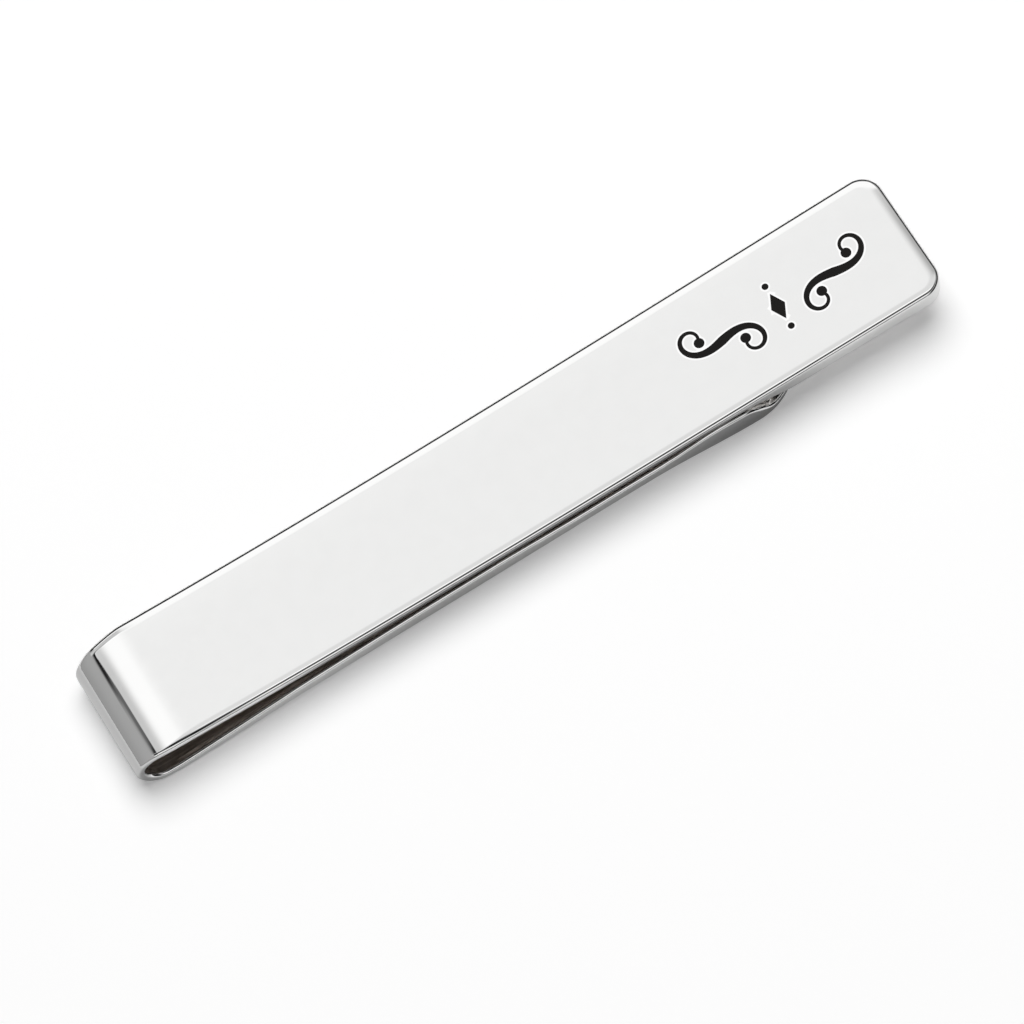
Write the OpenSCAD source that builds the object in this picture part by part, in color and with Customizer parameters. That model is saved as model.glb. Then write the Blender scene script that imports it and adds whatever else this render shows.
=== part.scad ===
// Slide-on tie clip folded from one polished strip of metal.
// +X runs along the clip to its free end, +Z points out of the front face,
// and the origin is under the middle of the clip, on the surface it lies on.
// The strip is folded at -X: the front plate lies over the spring leg.

/* [Strip] */
// Overall length of the clip
clip_l = 56; // [50:1:64]
// Thickness of the metal strip
strip_t = 0.6; // [0.5:0.05:0.7]
// Width of the strip round the fold and along the spring leg
fold_w = 8.5; // [7:0.1:8.8]
// Outer height of the fold
fold_h = 3.5; // [3.3:0.1:4.2]
// Running clearance round the knuckle where the leg flexes
knuckle_gap = 0.03; // [0.02:0.01:0.05]

/* [Front plate] */
// Width of the front plate at its free end
plate_end_w = 8.9; // [8:0.1:10]
// Height of the front face at the free end
plate_end_h = 3.85; // [3.6:0.05:4.4]
// How far the middle of the front plate bows towards the leg
plate_bow = 0.6; // [0:0.05:0.7]
// Share by which the bow is stronger towards the fold
bow_skew_share = 0.43; // [0:0.01:0.5]
// Length over which the fold runs into the front plate
fold_blend_l = 3; // [2:0.1:4]
// Radius of the two free corners
corner_r = 1.4; // [1:0.05:2.5]
// Distance from the free end to where the edges begin to turn down
lip_l = 14.5; // [13:0.1:15]
// Length over which the turned-down lip gets its full depth
lip_run = 4; // [3:0.1:5]
// Height of the lip's lower edge
lip_low_h = 2.12; // [2:0.02:2.4]
// Width of the lip
lip_w = 0.45; // [0.3:0.05:0.6]

/* [Spring leg] */
// Length from the fold over which the underside rises
leg_rise_l = 10; // [7:0.25:12]
// Height of the flat stretch of the underside
leg_flat_h = 0.35; // [0.2:0.05:0.5]
// Length of the flat stretch of the underside
leg_flat_l = 9; // [6:0.5:12]
// Length from the flat stretch to the crest of the underside
leg_crest_l = 14.75; // [12:0.25:17]
// Height of the underside at the crest
leg_crest_h = 0.62; // [0.5:0.02:0.74]
// Length from the crest down to the belly of the tip
leg_belly_l = 7.1; // [6:0.1:8]
// Length of the tip beyond its belly
tip_l = 4.4; // [4:0.1:5]
// Height of the tip's end above the belly
tip_lift = 0.25; // [0.1:0.05:0.6]
// Length of the lead-in tip before its belly
tip_root_l = 2.6; // [2:0.1:4]

/* [Turned-up edges of the leg] */
// Width of the turned-up edges
leg_rim_w = 0.45; // [0.3:0.05:0.6]
// Length from the fold over which the edges rise
edge_rise_l = 22.5; // [20:0.5:24]
// Height of the edges over the underside after that rise
edge_side_h = 1.25; // [1.1:0.05:1.4]
// Length over which they sink again
edge_sink_l = 6.5; // [5:0.5:9]
// Height of the edges over the underside at the crest
edge_crest_h = 1; // [0.8:0.05:1.2]
// Gap at rest between the plate and the highest edges, which pinch the tie
grip_gap = 0.8; // [0.5:0.05:1.2]
// Length before the belly at which the edges are highest
edge_lead_l = 1.8; // [1.2:0.1:3]
// Length before the belly at which they begin to die out
edge_hold_l = 0.6; // [0.2:0.1:1]
// Length beyond the belly at which the edges have died out
edge_fade_l = 1.5; // [1:0.1:2.5]

/* [Ornament] */
// Distance from the free end to the middle of the ornament
ornament_end_l = 9.1; // [8.5:0.1:14]
// Depth of the engraved recess
engrave_depth = 0.15; // [0.08:0.01:0.25]
// How far the black fill lies below the plate's face
fill_sink = 0.02; // [0.01:0.01:0.05]
// Length of a scroll's stroke from its middle to one end
scroll_half_l = 4.9; // [3.5:0.1:5.1]
// Angle that each half of a scroll turns through
scroll_turn = 300; // [200:10:320]
// Angle that a scroll is turned back from the clip's length
scroll_tilt = 12; // [0:1:25]
// Distance from the ornament's middle to the middle of a scroll
scroll_offset = 3.9; // [3.7:0.1:4.2]
// Width of a scroll's stroke at its middle
stroke_w = 0.6; // [0.3:0.05:0.6]
// Width of a scroll's stroke at its ends
stroke_end_w = 0.2; // [0.12:0.02:0.25]
// Diameter of the dot that ends each stroke
dot_d = 0.65; // [0.4:0.05:0.7]
// Length of the lozenge along the clip
lozenge_l = 0.95; // [0.6:0.05:1.2]
// Length of the lozenge across the clip
lozenge_w = 1.9; // [1:0.1:2.2]
// Diameter of the two dots beside the lozenge
small_dot_d = 0.42; // [0.3:0.02:0.5]
// Distance from the lozenge's middle to each of them
small_dot_offset = 1.5; // [1.4:0.05:1.9]

/* [Hidden] */

// Overrun of every cut past the face it opens
cut = 1;
// Facets of the true arcs and steps of the computed curves
arc_fn = 96;
curve_steps = 12;
stroke_steps = 44;
// Least distance between two stations
least_step = strip_t / 20;

fold_r = fold_h / 2;
knuckle_r = strip_t / 2;
plate_run = clip_l - fold_r;
plate_span = max(fold_w, plate_end_w);

lip_x = clip_l - lip_l;
// The bow's downward slope beside the fold
start_slope = (4 * plate_bow * (1 + bow_skew_share) - (plate_end_h - fold_h)) / plate_run;

rise_x = fold_r + leg_rise_l;
flat_x = rise_x + leg_flat_l;
crest_x = flat_x + leg_crest_l;
belly_x = crest_x + leg_belly_l;
tip_x = belly_x + tip_l;
tip_root_x = belly_x - tip_root_l;
tip_centre_x = tip_x - fold_w / 2;

side_x = fold_r + edge_rise_l;
sink_x = side_x + edge_sink_l;
full_x = belly_x - edge_lead_l;
hold_x = belly_x - edge_hold_l;
fade_x = belly_x + edge_fade_l;
edge_tip_h = plate_low(full_x) - leg_low(full_x) - grip_gap;

silver = [0.8, 0.8, 0.8];
enamel = [0.03, 0.03, 0.03];

// Eases from 0 to 1 as x goes from a to b, level at both ends
function ease(x, a, b) = let (t = min(1, max(0, (x - a) / (b - a)))) t * t * (3 - 2 * t);

// Rises from 0 to 1 as x goes from a to b, steadily at first and level at b
function swell(x, a, b) = sin(90 * min(1, max(0, (x - a) / (b - a))));

// Height of the front face: a straight line between its two ends, bowed inward
function bowed_face(x) = let (t = (x - fold_r) / plate_run)
    fold_h + (plate_end_h - fold_h) * t
    - plate_bow * 4 * t * (1 - t) * (1 + bow_skew_share * (1 - 2 * t));
// The same, level beside the fold before it takes up that slope
function plate_top(x) =
    bowed_face(x) + start_slope * (x - fold_r) * exp(-(x - fold_r) / fold_blend_l);

// Height of the plate's lower edge, which drops from its underside to that of the lip
function plate_low(x) = let (k = ease(x, lip_x, lip_x + lip_run))
    (1 - k) * (plate_top(x) - strip_t) + k * lip_low_h;

// Height of the leg's underside
function leg_low(x) =
    x < flat_x ? leg_flat_h * ease(x, fold_r, rise_x)
    : x < crest_x ? leg_flat_h + (leg_crest_h - leg_flat_h) * ease(x, flat_x, crest_x)
    : x < belly_x ? leg_crest_h * (1 - ease(x, crest_x, belly_x))
    : tip_lift * pow((x - belly_x) / tip_l, 2);

// Height of the leg's edges over its underside
function edge_h(x) =
    strip_t
    + (edge_side_h - strip_t) * swell(x, fold_r, side_x)
    - (edge_side_h - edge_crest_h) * ease(x, side_x, sink_x)
    + (edge_tip_h - edge_crest_h) * ease(x, crest_x, full_x)
    - (edge_tip_h - strip_t) * ease(x, hold_x, fade_x);
function leg_high(x) = leg_low(x) + edge_h(x);

// Stations from a to b, evenly spaced
function stations(a, b, steps) = [for (i = [0:steps]) a + (b - a) * i / steps];

// Stations of the plate, and those along its lip alone
lip_xs = stations(lip_x, clip_l, 2 * curve_steps);
plate_xs = concat(
    [for (x = stations(fold_r, lip_x, 3 * curve_steps)) if (x < lip_x - least_step) x],
    lip_xs
);

// Stations of the leg between two places, closer where it curves
function leg_stations(a, b) = concat(
    [a],
    [for (s = [
        stations(fold_r, rise_x, curve_steps), stations(rise_x, flat_x, curve_steps),
        stations(flat_x, crest_x, curve_steps), stations(crest_x, belly_x, curve_steps),
        stations(belly_x, fade_x, curve_steps), stations(fade_x, tip_x, curve_steps)
    ]) for (i = [1:curve_steps]) if (s[i] > a + least_step && s[i] < b - least_step) s[i]],
    [b]
);

function reversed(v) = [for (i = [len(v) - 1:-1:0]) v[i]];

// Puts a shape drawn from the fold's outer end into the clip's frame
module place() {
    translate([-clip_l / 2, 0, 0]) children();
}

// Extrudes an outline drawn in X and Z to a width across the clip
module across(width) {
    rotate([90, 0, 0]) translate([0, 0, -width / 2]) linear_extrude(width) children();
}

// Plan of the front plate, drawn in from its edges by inset
module plate_plan(inset = 0) {
    end_x = clip_l - inset;
    end_y = plate_end_w / 2 - inset;
    fold_y = fold_w / 2 - inset;
    r = corner_r - inset;
    polygon([
        [fold_r, -fold_y], [end_x - r, -end_y], [end_x, -end_y + r],
        [end_x, end_y - r], [end_x - r, end_y], [fold_r, fold_y]
    ]);
    for (side = [-1, 1])
        translate([end_x - r, side * (end_y - r)]) circle(r, $fn = arc_fn);
}

// Space between the front face lowered by sink and the same lowered by depth
module under_face(sink, depth) {
    across(plate_span + cut)
        polygon(concat(
            [for (x = plate_xs) [x, plate_top(x) - sink]],
            [for (x = reversed(plate_xs)) [x, plate_top(x) - depth]]
        ));
}

// Heading of a scroll's stroke, which winds in steadily from its middle to an end
function heading(i) = scroll_turn * pow(i / stroke_steps, 2);
// Centre line of half a scroll; the other half is this one turned about its middle
function half_scroll() = [
    for (i = 0, p = [0, 0]; i <= stroke_steps;
        p = p + scroll_half_l / stroke_steps * [cos(heading(i + 1 / 2)), sin(heading(i + 1 / 2))],
        i = i + 1) p
];
// Step from the centre line to the stroke's left side
function to_side(i) = let (t = i / stroke_steps)
    (stroke_end_w + (stroke_w - stroke_end_w) * pow(1 - t, 1.5)) / 2
    * [-sin(heading(i)), cos(heading(i))];

// The round dot that ends the stroke, from its left side to its right side
function end_dot(end) =
    let (h = heading(stroke_steps), opening = asin(stroke_end_w / dot_d))
    let (centre = end + dot_d / 2 * cos(opening) * [cos(h), sin(h)])
    [for (k = [1:curve_steps * 2 - 1])
        let (a = h + (180 - opening) * (1 - k / curve_steps))
        centre + dot_d / 2 * [cos(a), sin(a)]];

module scroll() {
    line = half_scroll();
    half = concat(
        [for (i = [0:stroke_steps]) line[i] + to_side(i)],
        end_dot(line[stroke_steps]),
        [for (i = [stroke_steps:-1:1]) line[i] - to_side(i)]
    );
    polygon(concat(half, -half));
}

// One scroll in plan; the left one is the mirror image of the right one
module scroll_plan(side) {
    translate([clip_l - ornament_end_l, 0]) mirror([side < 0 ? 1 : 0, 0])
        translate([scroll_offset, 0]) rotate(-scroll_tilt) scroll();
}

module centre_plan() {
    translate([clip_l - ornament_end_l, 0]) {
        polygon([
            [-lozenge_l / 2, 0], [0, -lozenge_w / 2], [lozenge_l / 2, 0], [0, lozenge_w / 2]
        ]);
        for (side = [-1, 1])
            translate([0, side * small_dot_offset]) circle(d = small_dot_d, $fn = arc_fn / 2);
    }
}

// Black fill that lies in an engraved recess of the given plan
module fill() {
    intersection() {
        linear_extrude(plate_end_h + fold_h) children();
        under_face(fill_sink, engrave_depth);
    }
}

// Front plate with the lip round its free end and the engraved recess
module front_plate() {
    color(silver) place() difference() {
        intersection() {
            across(plate_span)
                polygon(concat(
                    [for (x = plate_xs) [x, plate_top(x)]],
                    [for (x = reversed(plate_xs)) [x, plate_low(x)]]
                ));
            linear_extrude(plate_end_h + fold_h) plate_plan();
        }
        intersection() {
            across(plate_span)
                polygon(concat(
                    [for (x = lip_xs) [x, plate_top(x) - strip_t]],
                    [[clip_l, 0], [lip_x, 0]]
                ));
            linear_extrude(plate_end_h) plate_plan(lip_w);
        }
        intersection() {
            linear_extrude(plate_end_h + fold_h) {
                scroll_plan(-1);
                scroll_plan(1);
                centre_plan();
            }
            under_face(-cut, engrave_depth);
        }
    }
}

// Half-round fold, with the seat that the leg's knuckle turns in
module fold_bow() {
    color(silver) place() across(fold_w) difference() {
        intersection() {
            translate([fold_r, fold_r]) circle(fold_r, $fn = 2 * arc_fn);
            square([fold_r, fold_h]);
        }
        translate([fold_r, fold_r]) circle(fold_r - strip_t, $fn = 2 * arc_fn);
        translate([fold_r, knuckle_r]) circle(knuckle_r + knuckle_gap, $fn = arc_fn);
    }
}

// Full depth of the leg between two places, from its underside to its edges
module leg_band(a, b) {
    xs = leg_stations(a, b);
    across(fold_w)
        polygon(concat(
            [for (x = xs) [x, leg_low(x)]],
            [for (x = reversed(xs)) [x, leg_high(x)]]
        ));
}

// Space over the leg's floor between two places, of the given width
module leg_hollow(a, b, width) {
    across(width)
        polygon(concat(
            [for (x = leg_stations(a, b)) [x, leg_low(x) + strip_t]],
            [[b, fold_h], [a, fold_h]]
        ));
}

// Spring leg: a shallow tray with turned-up edges, and the knuckle at its root
module spring_leg() {
    color(silver) place() {
        difference() {
            leg_band(fold_r, tip_root_x);
            leg_hollow(fold_r, tip_root_x, fold_w - 2 * leg_rim_w);
        }
        across(fold_w) translate([fold_r, knuckle_r]) circle(knuckle_r, $fn = arc_fn);
    }
}

// Plan of the tip: straight sides that end in a half round
module tip_plan(inset = 0) {
    r = fold_w / 2 - inset;
    translate([tip_root_x, -r]) square([tip_centre_x - tip_root_x, 2 * r]);
    translate([tip_centre_x, 0]) circle(r, $fn = 2 * arc_fn);
}

// Rounded spoon-shaped end that leads the tie in
module lead_in_tip() {
    color(silver) place() difference() {
        intersection() {
            leg_band(tip_root_x, tip_x);
            linear_extrude(fold_h) tip_plan();
        }
        intersection() {
            leg_hollow(tip_root_x, fade_x, fold_w);
            linear_extrude(fold_h) tip_plan(leg_rim_w);
        }
    }
}

module left_scroll_fill() {
    color(enamel) place() fill() scroll_plan(-1);
}

module right_scroll_fill() {
    color(enamel) place() fill() scroll_plan(1);
}

module centre_fill() {
    color(enamel) place() fill() centre_plan();
}

front_plate();
fold_bow();
spring_leg();
lead_in_tip();
left_scroll_fill();
right_scroll_fill();
centre_fill();
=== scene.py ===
import math

import bpy
import numpy as np
from mathutils import Matrix, Vector
from mathutils.geometry import delaunay_2d_cdt


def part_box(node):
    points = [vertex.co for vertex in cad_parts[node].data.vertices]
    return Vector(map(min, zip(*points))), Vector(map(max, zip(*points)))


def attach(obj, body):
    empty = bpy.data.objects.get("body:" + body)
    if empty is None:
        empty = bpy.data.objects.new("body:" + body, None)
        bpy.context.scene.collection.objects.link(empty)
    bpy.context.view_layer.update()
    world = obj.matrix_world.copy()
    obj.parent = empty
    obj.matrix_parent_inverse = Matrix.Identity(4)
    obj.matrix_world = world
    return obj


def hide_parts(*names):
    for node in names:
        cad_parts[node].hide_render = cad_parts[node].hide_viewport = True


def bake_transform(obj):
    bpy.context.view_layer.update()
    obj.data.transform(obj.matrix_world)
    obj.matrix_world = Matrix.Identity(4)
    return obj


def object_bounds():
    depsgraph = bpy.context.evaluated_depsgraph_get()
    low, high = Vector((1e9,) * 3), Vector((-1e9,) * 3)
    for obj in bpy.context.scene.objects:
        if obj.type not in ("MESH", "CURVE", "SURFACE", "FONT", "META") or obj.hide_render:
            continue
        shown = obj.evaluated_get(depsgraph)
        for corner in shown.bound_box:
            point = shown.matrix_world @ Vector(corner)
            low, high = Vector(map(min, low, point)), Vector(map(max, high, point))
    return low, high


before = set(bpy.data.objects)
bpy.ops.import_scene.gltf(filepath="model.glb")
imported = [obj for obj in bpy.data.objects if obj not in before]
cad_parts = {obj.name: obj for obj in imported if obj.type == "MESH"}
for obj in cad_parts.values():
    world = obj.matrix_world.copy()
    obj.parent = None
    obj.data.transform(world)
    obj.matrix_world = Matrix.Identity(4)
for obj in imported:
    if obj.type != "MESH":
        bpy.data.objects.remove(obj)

# Lengths are in millimetres until a mesh is made. Until then X is counted from
# the fold's outer end and Z from the surface that the clip lies on.
MM = 0.001
cad_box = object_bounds()
fold_end_x = cad_box[0][0] / MM


def node_box(node):
    """Lowest and highest corner of a CAD node in millimetres, X from the fold's outer end."""
    low, high = (np.array(corner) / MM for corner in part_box(node))
    shift = np.array([fold_end_x, 0, 0])
    return low - shift, high - shift


# Sizes read from the frame
clip_l = (cad_box[1][0] - cad_box[0][0]) / MM
fold_near, fold_far = node_box("fold_bow")
plate_near, plate_far = node_box("front_plate")
fold_h = fold_far[2]
fold_r = fold_h / 2
fold_w = fold_far[1] - fold_near[1]
plate_end_w = plate_far[1] - plate_near[1]
plate_end_h = plate_far[2]
tip_x = node_box("lead_in_tip")[1][0]

# The strip and the rounds of its edges
strip_t = 0.6
outer_edge_r = 0.24
leg_edge_r = 0.1
inner_edge_r = 0.2
inner_blend_w = 0.1

# The faces fall away a little beside the edges, over these widths
crown_side_w = 0.62
crown_end_w = 0.8
near_crown_w = 0.26
far_crown_w = 0.5
leg_crown_w = 0.3
crown_run = 3.0
crown_angle = math.radians(8)

# The front plate
plate_bow = 0.6
bow_skew_share = 0.43
fold_blend_l = 3.0
corner_r = 1.4
lip_l = 14.5
lip_run = 4.0
lip_low_h = 2.12
lip_w = 0.45

# The fold's two ends are worn round: how far each edge is drawn in, and the run past the fold
far_wear = 0.68
far_wear_run = 1.9
near_wear = 0.15
near_wear_run = 1.1
wear_power = 1.5

# The leg is a little wider where it leaves the fold. From this share of the fold's half turn
# its edges take the leg's round and width.
leg_edge_from_turn = 0.6
leg_spread = 0.11
spread_from_x = 4.0
spread_end_x = 24.0

# The spring leg and its turned-up edges
leg_rise_l = 10.0
leg_flat_h = 0.35
leg_flat_l = 9.0
leg_crest_l = 14.75
leg_crest_h = 0.62
leg_belly_l = 7.1
tip_l = 4.4
tip_lift = 0.25
edge_rise_l = 22.5
edge_side_h = 1.25
edge_sink_l = 6.5
edge_crest_h = 1.0
grip_gap = 0.8
edge_lead_l = 1.8
edge_hold_l = 0.6
edge_fade_l = 1.5

# How dull the outer walls are, and how far their colour is darkened with painted shade: along the
# plate's thin edge, round the fold and on the leg.
# The fold's values hold between the shares of its half turn given as fade in and fade out.
plate_dull_and_shade = 0.92
plate_dull_and_shade_from_l = 6.0
plate_dull_and_shade_run = 10.0
plate_dull_and_shade_end_x = 43.0
plate_dull_and_shade_end_run = 6.0
fold_dull_and_shade = 0.5
fold_dull_and_shade_turns = (0.11, 0.28, 0.67, 1.0)
fold_face_dull_and_shade = 0.3
fold_face_dull_and_shade_turns = (0.25, 0.29, 0.8, 1.0)
leg_dull_and_shade = 0.5
leg_dull_and_shade_from_l = 8.0
leg_dull_and_shade_run = 12.0
leg_dull_and_shade_again_l = 26.0
leg_dull_and_shade_again_run = 16.0

# How far the inner faces lose their brushing and painted shade towards the free end
plate_inside_loss = 0.8
inside_end_x = 38.0
inside_end_run = 6.0
leg_inside_loss = 0.6
leg_inside_lead = 2.0
leg_inside_tail = 1.0

# Painted shade: a black line on the plate's near edge beside the fold, and a darker lower part of the
# edge
painted_shade_from_x = 2.0
painted_shade_rise = 0.7
painted_shade_fade_x = 4.0
painted_shade_end_x = 9.5
painted_shade_shift_x = 2.5
painted_shade_shift_run = 2.5
under_painted_shade = 0.85
under_from_x = 8.0
under_full_x = 16.0
under_fade_x = 38.0
under_end_x = 43.0

# Rows of the edge profile between which these marks come and go
wall_rows = (10, 16)
under_rows = (22, 25)
painted_shade_rows = (5, 6.5, 9, 10.5)
painted_shade_shift_rows = 1.3
low_painted_shade_rows = (11, 16.5)
inside_rows = 2

# The ornament
ornament_end_l = 9.1
engrave_depth = 0.15
fill_sink = 0.02
scroll_half_l = 4.9
scroll_turn = math.radians(300)
scroll_tilt = math.radians(12)
scroll_offset = 3.9
stroke_w = 0.6
stroke_end_w = 0.2
stroke_taper = 1.5
dot_d = 0.65
lozenge_l = 0.95
lozenge_w = 1.9
small_dot_d = 0.42
small_dot_offset = 1.5
halo_w = 0.16

# Spacing of the mesh
EDGE_STEP = 0.25
FINE_STEP = 0.1
PLATE_FINE_RUN = 3.0
LEG_FINE_RUN = 4.0
LEG_STEP = 0.4
TIP_STEP = 0.2
PLATE_CAP_STEP = 0.6
LEG_CAP_STEP = 0.5
RECESS_CAP_STEP = 1.0
CAP_MARGIN_SHARE = 0.55
HALO_MARGIN_SHARE = 0.7
CORNER_STEPS = 24
END_STEPS = 20
CROWN_LEAD_STEPS = 6
TIP_STEPS = 72
CROSS_STEPS = 16
FOLD_STEPS = 72
SLOPE_REACH = 0.01

plate_run = clip_l - fold_r
rise_x = fold_r + leg_rise_l
flat_x = rise_x + leg_flat_l
crest_x = flat_x + leg_crest_l
belly_x = crest_x + leg_belly_l
full_x = belly_x - edge_lead_l
hold_x = belly_x - edge_hold_l
fade_x = belly_x + edge_fade_l
side_x = fold_r + edge_rise_l
sink_x = side_x + edge_sink_l
lip_x = clip_l - lip_l
fold_arc = math.pi * fold_r


def ease(x, a, b):
    """Eases from 0 to 1 as x goes from a to b, level at both ends."""
    t = np.clip((x - a) / (b - a), 0, 1)
    return t * t * (3 - 2 * t)


def rise_and_fall(x, a, b, c, d):
    """Eases from 0 to 1 between a and b, and back to 0 between c and d."""
    return ease(x, a, b) * (1 - ease(x, c, d))


def plate_top(x):
    """Height of the front face; the fold runs into it without a kink."""
    t = (x - fold_r) / plate_run
    bowed = plate_bow * 4 * t * (1 - t) * (1 + bow_skew_share * (1 - 2 * t))
    start_slope = (4 * plate_bow * (1 + bow_skew_share) - (plate_end_h - fold_h)) / plate_run
    run = np.maximum(x - fold_r, 0)
    lead = start_slope * run * np.exp(-run / fold_blend_l)
    return fold_h + (plate_end_h - fold_h) * t - bowed + lead


def plate_low(x):
    """Height of the plate's lower edge, which drops from its underside to that of the lip."""
    k = ease(x, lip_x, lip_x + lip_run)
    return (1 - k) * (plate_top(x) - strip_t) + k * lip_low_h


def leg_low(x):
    """Height of the leg's underside."""
    rise = leg_flat_h * ease(x, fold_r, rise_x)
    crest = leg_flat_h + (leg_crest_h - leg_flat_h) * ease(x, flat_x, crest_x)
    drop = leg_crest_h * (1 - ease(x, crest_x, belly_x))
    lift = tip_lift * ((x - belly_x) / tip_l) ** 2
    return np.where(x < flat_x, rise, np.where(x < crest_x, crest, np.where(x < belly_x, drop, lift)))


edge_tip_h = float(plate_low(full_x) - leg_low(full_x)) - grip_gap


def swell(x, a, b):
    """Rises from 0 to 1 as x goes from a to b, level at the end."""
    return np.sin(math.pi / 2 * np.clip((x - a) / (b - a), 0, 1))


def edge_h(x):
    """Height of the leg's turned-up edges over its underside."""
    return (
        strip_t
        + (edge_side_h - strip_t) * swell(x, fold_r, side_x)
        - (edge_side_h - edge_crest_h) * ease(x, side_x, sink_x)
        + (edge_tip_h - edge_crest_h) * ease(x, crest_x, full_x)
        - (edge_tip_h - strip_t) * ease(x, hold_x, fade_x)
    )


def wear(s, side):
    """How far an edge is drawn in at s, the distance along the strip from the top of the fold."""
    amount, run = (near_wear, near_wear_run) if side < 0 else (far_wear, far_wear_run)
    t = np.clip((s + run) / (fold_arc + 2 * run), 0, 1)
    return amount * np.sin(math.pi * t) ** wear_power


def crown_width(x, side, full_w):
    """Width of the soft crown beside an edge: its own on the fold, full_w further on."""
    start = near_crown_w if side < 0 else far_crown_w
    return start + (full_w - start) * float(ease(x, fold_r, fold_r + crown_run))


class Skin:
    """Vertices and faces of the whole metal strip, with the piece that each face belongs to."""

    def __init__(self):
        self.points = []
        self.marks = {"inside": [], "halo": [], "dull_and_shade": [], "painted_shade": []}
        self.faces = []
        self.owner = []
        self.flat = set()
        self.front = []
        self.seams = {}
        self.plate_outer_row = []
        self.plate_inner_row = []
        self.leg_outer_row = []
        self.leg_inner_row = []

    def add(self, point, inside=0.0, halo=0.0, dull_and_shade=0.0, painted_shade=0.0):
        self.points.append(tuple(point))
        for label, value in zip(self.marks, (inside, halo, dull_and_shade, painted_shade)):
            self.marks[label].append(value)
        return len(self.points) - 1

    def face(self, corners, owner):
        self.faces.append(tuple(corners))
        self.owner.append(owner)

    def flatten_from(self, first):
        """Faces from the given number on are shaded flat."""
        self.flat.update(range(first, len(self.faces)))

    def grid(self, rows, owner, flip=False):
        """Quads between rows of vertex numbers of equal length."""
        for a, b in zip(rows, rows[1:]):
            for i in range(len(a) - 1):
                quad = (a[i], a[i + 1], b[i + 1], b[i])
                self.face(quad[::-1] if flip else quad, owner)


# Rows of the edge profile: the soft crown, the outer round, the wall, the inner round and the
# inner face of the rim, which goes back to the strip's thickness from this share of its width
CROWN_ROWS = 6
ROUND_ROWS = 10
WALL_ROWS = 5
INNER_ROUND_ROWS = 7
RIM_ROWS = 8
RIM_FADE_FROM = 0.25


def edge_profile(outer_r):
    """The strip's edge from its outer face round to its inner face.

    Each row is the share of the crown's width, a further inset, the depth below the
    outer face, the share of the crown's drop and the share of the turned rim's height.
    """
    rows = []
    start_inset = outer_r * (1 - math.sin(crown_angle))
    for i in range(CROWN_ROWS):
        q = i / CROWN_ROWS
        rows.append((1 - q, start_inset * q, 0.0, q * q, 0.0))
    start_depth = outer_r * (1 - math.cos(crown_angle))
    for i in range(ROUND_ROWS + 1):
        a = crown_angle + (math.pi / 2 - crown_angle) * i / ROUND_ROWS
        inset = outer_r * (1 - math.sin(a))
        rows.append((0.0, inset, outer_r * (1 - math.cos(a)) - start_depth, 1.0, 0.0))
    wall_top = rows[-1][2]
    for i in range(1, WALL_ROWS):
        q = i / WALL_ROWS
        rows.append((0.0, 0.0, wall_top + (strip_t - inner_edge_r - wall_top) * q, 1 - q, q))
    for i in range(INNER_ROUND_ROWS + 1):
        a = math.pi / 2 * i / INNER_ROUND_ROWS
        depth = strip_t - inner_edge_r * (1 - math.sin(a))
        rows.append((0.0, inner_edge_r * (1 - math.cos(a)), depth, 0.0, 1.0))
    for i in range(1, RIM_ROWS + 1):
        q = i / RIM_ROWS
        inset = inner_edge_r + (lip_w + inner_blend_w - inner_edge_r) * q
        rows.append((0.0, inset, strip_t, 0.0, float(1 - ease(q, RIM_FADE_FROM, 1.0))))
    return np.array(rows)


PLATE_PROFILE = edge_profile(outer_edge_r)
LEG_PROFILE = edge_profile(leg_edge_r)
INNER_START = len(PLATE_PROFILE) - RIM_ROWS - 1
WALL_END = INNER_START - INNER_ROUND_ROWS + 1


def crown_drop(crown_w, outer_r):
    """How far the outer face has fallen where its edge's round begins."""
    return math.tan(crown_angle) * (crown_w - outer_r) / 2


def wall_share(k):
    """1 on the outer wall's rows of the profile, 0 on the faces and on the inner edge."""
    return float(ease(k, *wall_rows)) if k <= WALL_END else 0.0


def wall_and_under_share(k):
    """As wall_share, and 1 on the lower part of the inner edge as well."""
    return float(ease(k, *under_rows)) if WALL_END < k <= INNER_START else wall_share(k)


def inside_share(k):
    """0 on the outer rows of the profile, 1 on the inner face."""
    return float(ease(k, INNER_START - inside_rows, INNER_START + inside_rows))


def painted_shade_at(x, y, k):
    """Painted shade: the black line beside the fold on the near edge's round, and the darker lower edge.
    """
    under = rise_and_fall(x, under_from_x, under_full_x, under_fade_x, under_end_x)
    low = under_painted_shade * float(under * ease(k, *low_painted_shade_rows)) if k <= INNER_START else 0.0
    if y > 0:
        return low
    along = rise_and_fall(x, painted_shade_from_x, painted_shade_from_x + painted_shade_rise, painted_shade_fade_x, painted_shade_end_x)
    row = k + painted_shade_shift_rows * (1 - ease(x, painted_shade_shift_x, painted_shade_shift_x + painted_shade_shift_run))
    return low + float(along * rise_and_fall(row, *painted_shade_rows))


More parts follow.
